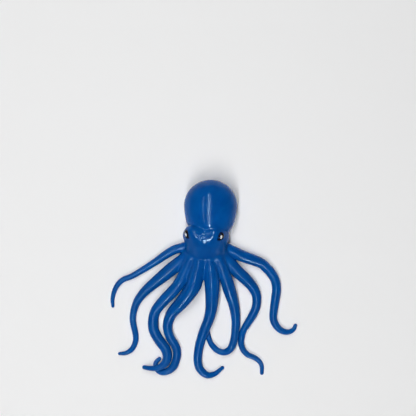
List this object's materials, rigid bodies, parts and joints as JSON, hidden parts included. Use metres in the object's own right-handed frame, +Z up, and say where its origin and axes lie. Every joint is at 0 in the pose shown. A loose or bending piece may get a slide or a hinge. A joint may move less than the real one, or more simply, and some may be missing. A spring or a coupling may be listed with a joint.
{
  "type": "octopus squeeze toy",
  "caption": "Soft rubber octopus lying on its belly, with a syrup-filled head and mantle, bead eyes and long tapering arms that bend.",
  "frame": {"origin": "centre of the fill plug's flat underside, which lies on the table", "axes": "+Z up from the table, +Y from the arms to the tip of the mantle, +X to the right seen from above with the mantle at the top"},
  "size_m": [0.0999, 0.1057, 0.0223],
  "materials": {
    "skin": "glossy soft thermoplastic rubber, royal blue",
    "syrup": "thick clear syrup, seen only through the skin",
    "eye_black": "glossy black",
    "eye_white": "glossy white"
  },
  "bodies": {
    "head": {"head_skin": "skin", "eye_bead_left": "eye_black", "eye_glint_left": "eye_white", "eye_bead_right": "eye_black", "eye_glint_right": "eye_white", "fill_plug": "skin", "head_syrup": "syrup"},
    "mantle": {"mantle_skin": "skin", "mantle_syrup": "syrup"},
    "arm_1_1": {"arm_1_link_1": "skin"},
    "arm_1_2": {"arm_1_link_2": "skin"},
    "arm_1_3": {"arm_1_link_3": "skin"},
    "arm_1_4": {"arm_1_link_4": "skin"},
    "arm_2_1": {"arm_2_link_1": "skin"},
    "arm_2_2": {"arm_2_link_2": "skin"},
    "arm_2_3": {"arm_2_link_3": "skin"},
    "arm_2_4": {"arm_2_link_4": "skin"},
    "arm_3_1": {"arm_3_link_1": "skin"},
    "arm_3_2": {"arm_3_link_2": "skin"},
    "arm_3_3": {"arm_3_link_3": "skin"},
    "arm_3_4": {"arm_3_link_4": "skin"},
    "arm_4_1": {"arm_4_link_1": "skin"},
    "arm_4_2": {"arm_4_link_2": "skin"},
    "arm_4_3": {"arm_4_link_3": "skin"},
    "arm_4_4": {"arm_4_link_4": "skin"},
    "arm_5_1": {"arm_5_link_1": "skin"},
    "arm_5_2": {"arm_5_link_2": "skin"},
    "arm_5_3": {"arm_5_link_3": "skin"},
    "arm_5_4": {"arm_5_link_4": "skin"},
    "arm_6_1": {"arm_6_link_1": "skin"},
    "arm_6_2": {"arm_6_link_2": "skin"},
    "arm_6_3": {"arm_6_link_3": "skin"},
    "arm_6_4": {"arm_6_link_4": "skin"},
    "arm_7_1": {"arm_7_link_1": "skin"},
    "arm_7_2": {"arm_7_link_2": "skin"},
    "arm_7_3": {"arm_7_link_3": "skin"},
    "arm_7_4": {"arm_7_link_4": "skin"},
    "arm_8_1": {"arm_8_link_1": "skin"},
    "arm_8_2": {"arm_8_link_2": "skin"},
    "arm_8_3": {"arm_8_link_3": "skin"},
    "arm_8_4": {"arm_8_link_4": "skin"}
  },
  "joints": [
    {"name": "neck_nod", "type": "hinge", "parent": "head", "child": "mantle", "pos_m": [0.00105, 0.0165, 0.011], "axis": [1, 0, 0], "range_deg": [-10, 10], "stiffness_Nm_per_rad": 0.05},
    {"name": "arm_1_lift_1", "type": "hinge", "parent": "head", "child": "arm_1_1", "pos_m": [-0.02156, -0.00255, 0.00268], "axis": [-0.5565, 0.8309, 0], "range_deg": [-12, 20], "stiffness_Nm_per_rad": 0.00033},
    {"name": "arm_1_sway_1", "type": "hinge", "parent": "arm_1_1", "child": "arm_1_2", "pos_m": [-0.03035, -0.00844, 0.00211], "axis": [-0.0364, -0.0229, 0.9991], "range_deg": [-15, 10], "stiffness_Nm_per_rad": 0.00014},
    {"name": "arm_1_lift_2", "type": "hinge", "parent": "arm_1_2", "child": "arm_1_3", "pos_m": [-0.03945, -0.01384, 0.00173], "axis": [-0.4401, 0.8979, 0], "range_deg": [-12, 25], "stiffness_Nm_per_rad": 0.000077},
    {"name": "arm_1_sway_2", "type": "hinge", "parent": "arm_1_3", "child": "arm_1_4", "pos_m": [-0.04794, -0.01966, 0.00146], "axis": [-0.0112, -0.0196, 0.9997], "range_deg": [-20, 20], "stiffness_Nm_per_rad": 0.000043},
    {"name": "arm_2_lift_1", "type": "hinge", "parent": "head", "child": "arm_2_1", "pos_m": [-0.02241, -0.01338, 0.00381], "axis": [-0.6259, 0.7799, 0], "range_deg": [-12, 25], "stiffness_Nm_per_rad": 0.0016},
    {"name": "arm_2_sway_1", "type": "hinge", "parent": "arm_2_1", "child": "arm_2_2", "pos_m": [-0.03268, -0.02208, 0.00268], "axis": [-0.048, -0.0511, 0.9975], "range_deg": [-15, 12], "stiffness_Nm_per_rad": 0.00054},
    {"name": "arm_2_lift_2", "type": "hinge", "parent": "arm_2_2", "child": "arm_2_3", "pos_m": [-0.03884, -0.03383, 0.00191], "axis": [-0.9856, 0.169, 0], "range_deg": [-12, 25], "stiffness_Nm_per_rad": 0.00014},
    {"name": "arm_2_sway_2", "type": "hinge", "parent": "arm_2_3", "child": "arm_2_4", "pos_m": [-0.03748, -0.04717, 0.00166], "axis": [-0.0001, -0.0258, 0.9997], "range_deg": [-20, 20], "stiffness_Nm_per_rad": 0.000072},
    {"name": "arm_3_lift_1", "type": "hinge", "parent": "head", "child": "arm_3_1", "pos_m": [-0.01739, -0.0215, 0.00637], "axis": [-0.7527, 0.6584, 0], "range_deg": [0, 22], "stiffness_Nm_per_rad": 0.0012},
    {"name": "arm_3_sway_1", "type": "hinge", "parent": "arm_3_1", "child": "arm_3_2", "pos_m": [-0.02669, -0.03208, 0.0032], "axis": [-0.0659, -0.1224, 0.9903], "range_deg": [-4, 0], "stiffness_Nm_per_rad": 0.00075},
    {"name": "arm_3_lift_2", "type": "hinge", "parent": "arm_3_2", "child": "arm_3_3", "pos_m": [-0.02623, -0.04589, 0.00292], "axis": [-0.863, -0.5051, 0], "range_deg": [0, 25], "stiffness_Nm_per_rad": 0.00073},
    {"name": "arm_3_sway_2", "type": "hinge", "parent": "arm_3_3", "child": "arm_3_4", "pos_m": [-0.02099, -0.05854, 0.00477], "axis": [0.0595, 0.1542, 0.9862], "range_deg": [-20, 12], "stiffness_Nm_per_rad": 0.00039},
    {"name": "arm_4_lift_1", "type": "hinge", "parent": "head", "child": "arm_4_1", "pos_m": [-0.00909, -0.02272, 0.0087], "axis": [-0.8082, 0.589, 0], "range_deg": [-15, 0], "stiffness_Nm_per_rad": 0.0028},
    {"name": "arm_4_sway_1", "type": "hinge", "parent": "arm_4_1", "child": "arm_4_2", "pos_m": [-0.01857, -0.03427, 0.00435], "axis": [-0.1297, -0.2334, 0.9637], "range_deg": [0, 6], "stiffness_Nm_per_rad": 0.001},
    {"name": "arm_4_lift_2", "type": "hinge", "parent": "arm_4_2", "child": "arm_4_3", "pos_m": [-0.01778, -0.04874, 0.00243], "axis": [-0.8194, -0.5733, 0], "range_deg": [-15, 0], "stiffness_Nm_per_rad": 0.00037},
    {"name": "arm_4_sway_2", "type": "hinge", "parent": "arm_4_3", "child": "arm_4_4", "pos_m": [-0.01826, -0.06312, 0.00213], "axis": [-0.038, -0.0354, 0.9987], "range_deg": [-12, 20], "stiffness_Nm_per_rad": 0.00021},
    {"name": "arm_5_lift_1", "type": "hinge", "parent": "head", "child": "arm_5_1", "pos_m": [0.00321, -0.0226, 0.00914], "axis": [-1, 0.009, 0], "range_deg": [0, 22], "stiffness_Nm_per_rad": 0.0024},
    {"name": "arm_5_sway_1", "type": "hinge", "parent": "arm_5_1", "child": "arm_5_2", "pos_m": [0.00158, -0.0363, 0.00537], "axis": [-0.0453, -0.1497, 0.9877], "range_deg": [-12, 4], "stiffness_Nm_per_rad": 0.00082},
    {"name": "arm_5_lift_2", "type": "hinge", "parent": "arm_5_2", "child": "arm_5_3", "pos_m": [-0.00319, -0.04963, 0.00339], "axis": [-0.9681, 0.2507, 0], "range_deg": [0, 25], "stiffness_Nm_per_rad": 0.00046},
    {"name": "arm_5_sway_2", "type": "hinge", "parent": "arm_5_3", "child": "arm_5_4", "pos_m": [-0.00311, -0.06358, 0.00225], "axis": [0.0272, -0.0418, 0.9988], "range_deg": [-20, 20], "stiffness_Nm_per_rad": 0.00026},
    {"name": "arm_6_lift_1", "type": "hinge", "parent": "head", "child": "arm_6_1", "pos_m": [0.0125, -0.0211, 0.0059], "axis": [-0.9521, -0.3058, 0], "range_deg": [-15, 0], "stiffness_Nm_per_rad": 0.0017},
    {"name": "arm_6_lift_2", "type": "hinge", "parent": "arm_6_1", "child": "arm_6_2", "pos_m": [0.01565, -0.03394, 0.00298], "axis": [-0.9934, -0.1149, 0], "range_deg": [-15, 0], "stiffness_Nm_per_rad": 0.00055},
    {"name": "arm_6_lift_3", "type": "hinge", "parent": "arm_6_2", "child": "arm_6_3", "pos_m": [0.015, -0.04748, 0.0036], "axis": [-0.9765, 0.2154, 0], "range_deg": [-15, 0], "stiffness_Nm_per_rad": 0.00024},
    {"name": "arm_6_sway_1", "type": "hinge", "parent": "arm_6_3", "child": "arm_6_4", "pos_m": [0.00591, -0.05341, 0.00172], "axis": [-0.0387, 0.0243, 0.999], "range_deg": [-20, 6], "stiffness_Nm_per_rad": 0.000082},
    {"name": "arm_7_lift_1", "type": "hinge", "parent": "head", "child": "arm_7_1", "pos_m": [0.02205, -0.01635, 0.0036], "axis": [-0.7123, -0.7019, 0], "range_deg": [-12, 25], "stiffness_Nm_per_rad": 0.0011},
    {"name": "arm_7_sway_1", "type": "hinge", "parent": "arm_7_1", "child": "arm_7_2", "pos_m": [0.0269, -0.02928, 0.00244], "axis": [-0.0029, -0.0184, 0.9998], "range_deg": [0, 15], "stiffness_Nm_per_rad": 0.00037},
    {"name": "arm_7_lift_2", "type": "hinge", "parent": "arm_7_2", "child": "arm_7_3", "pos_m": [0.02035, -0.04212, 0.00198], "axis": [-0.8776, 0.4794, 0], "range_deg": [-12, 25], "stiffness_Nm_per_rad": 0.00015},
    {"name": "arm_7_sway_2", "type": "hinge", "parent": "arm_7_3", "child": "arm_7_4", "pos_m": [0.02176, -0.05547, 0.00162], "axis": [0.0237, -0.0204, 0.9995], "range_deg": [-20, 20], "stiffness_Nm_per_rad": 0.000066},
    {"name": "arm_8_lift_1", "type": "hinge", "parent": "head", "child": "arm_8_1", "pos_m": [0.02504, -0.00519, 0.00317], "axis": [-0.3356, -0.942, 0], "range_deg": [-12, 22], "stiffness_Nm_per_rad": 0.00092},
    {"name": "arm_8_sway_1", "type": "hinge", "parent": "arm_8_1", "child": "arm_8_2", "pos_m": [0.03554, -0.0134, 0.00268], "axis": [0.0134, -0.0207, 0.9997], "range_deg": [-12, 15], "stiffness_Nm_per_rad": 0.00054},
    {"name": "arm_8_lift_2", "type": "hinge", "parent": "arm_8_2", "child": "arm_8_3", "pos_m": [0.03695, -0.02661, 0.00247], "axis": [-0.9899, 0.1417, 0], "range_deg": [-12, 25], "stiffness_Nm_per_rad": 0.00039},
    {"name": "arm_8_sway_2", "type": "hinge", "parent": "arm_8_3", "child": "arm_8_4", "pos_m": [0.03723, -0.03993, 0.00203], "axis": [0.0258, -0.0422, 0.9988], "range_deg": [-20, 20], "stiffness_Nm_per_rad": 0.00017}
  ]
}
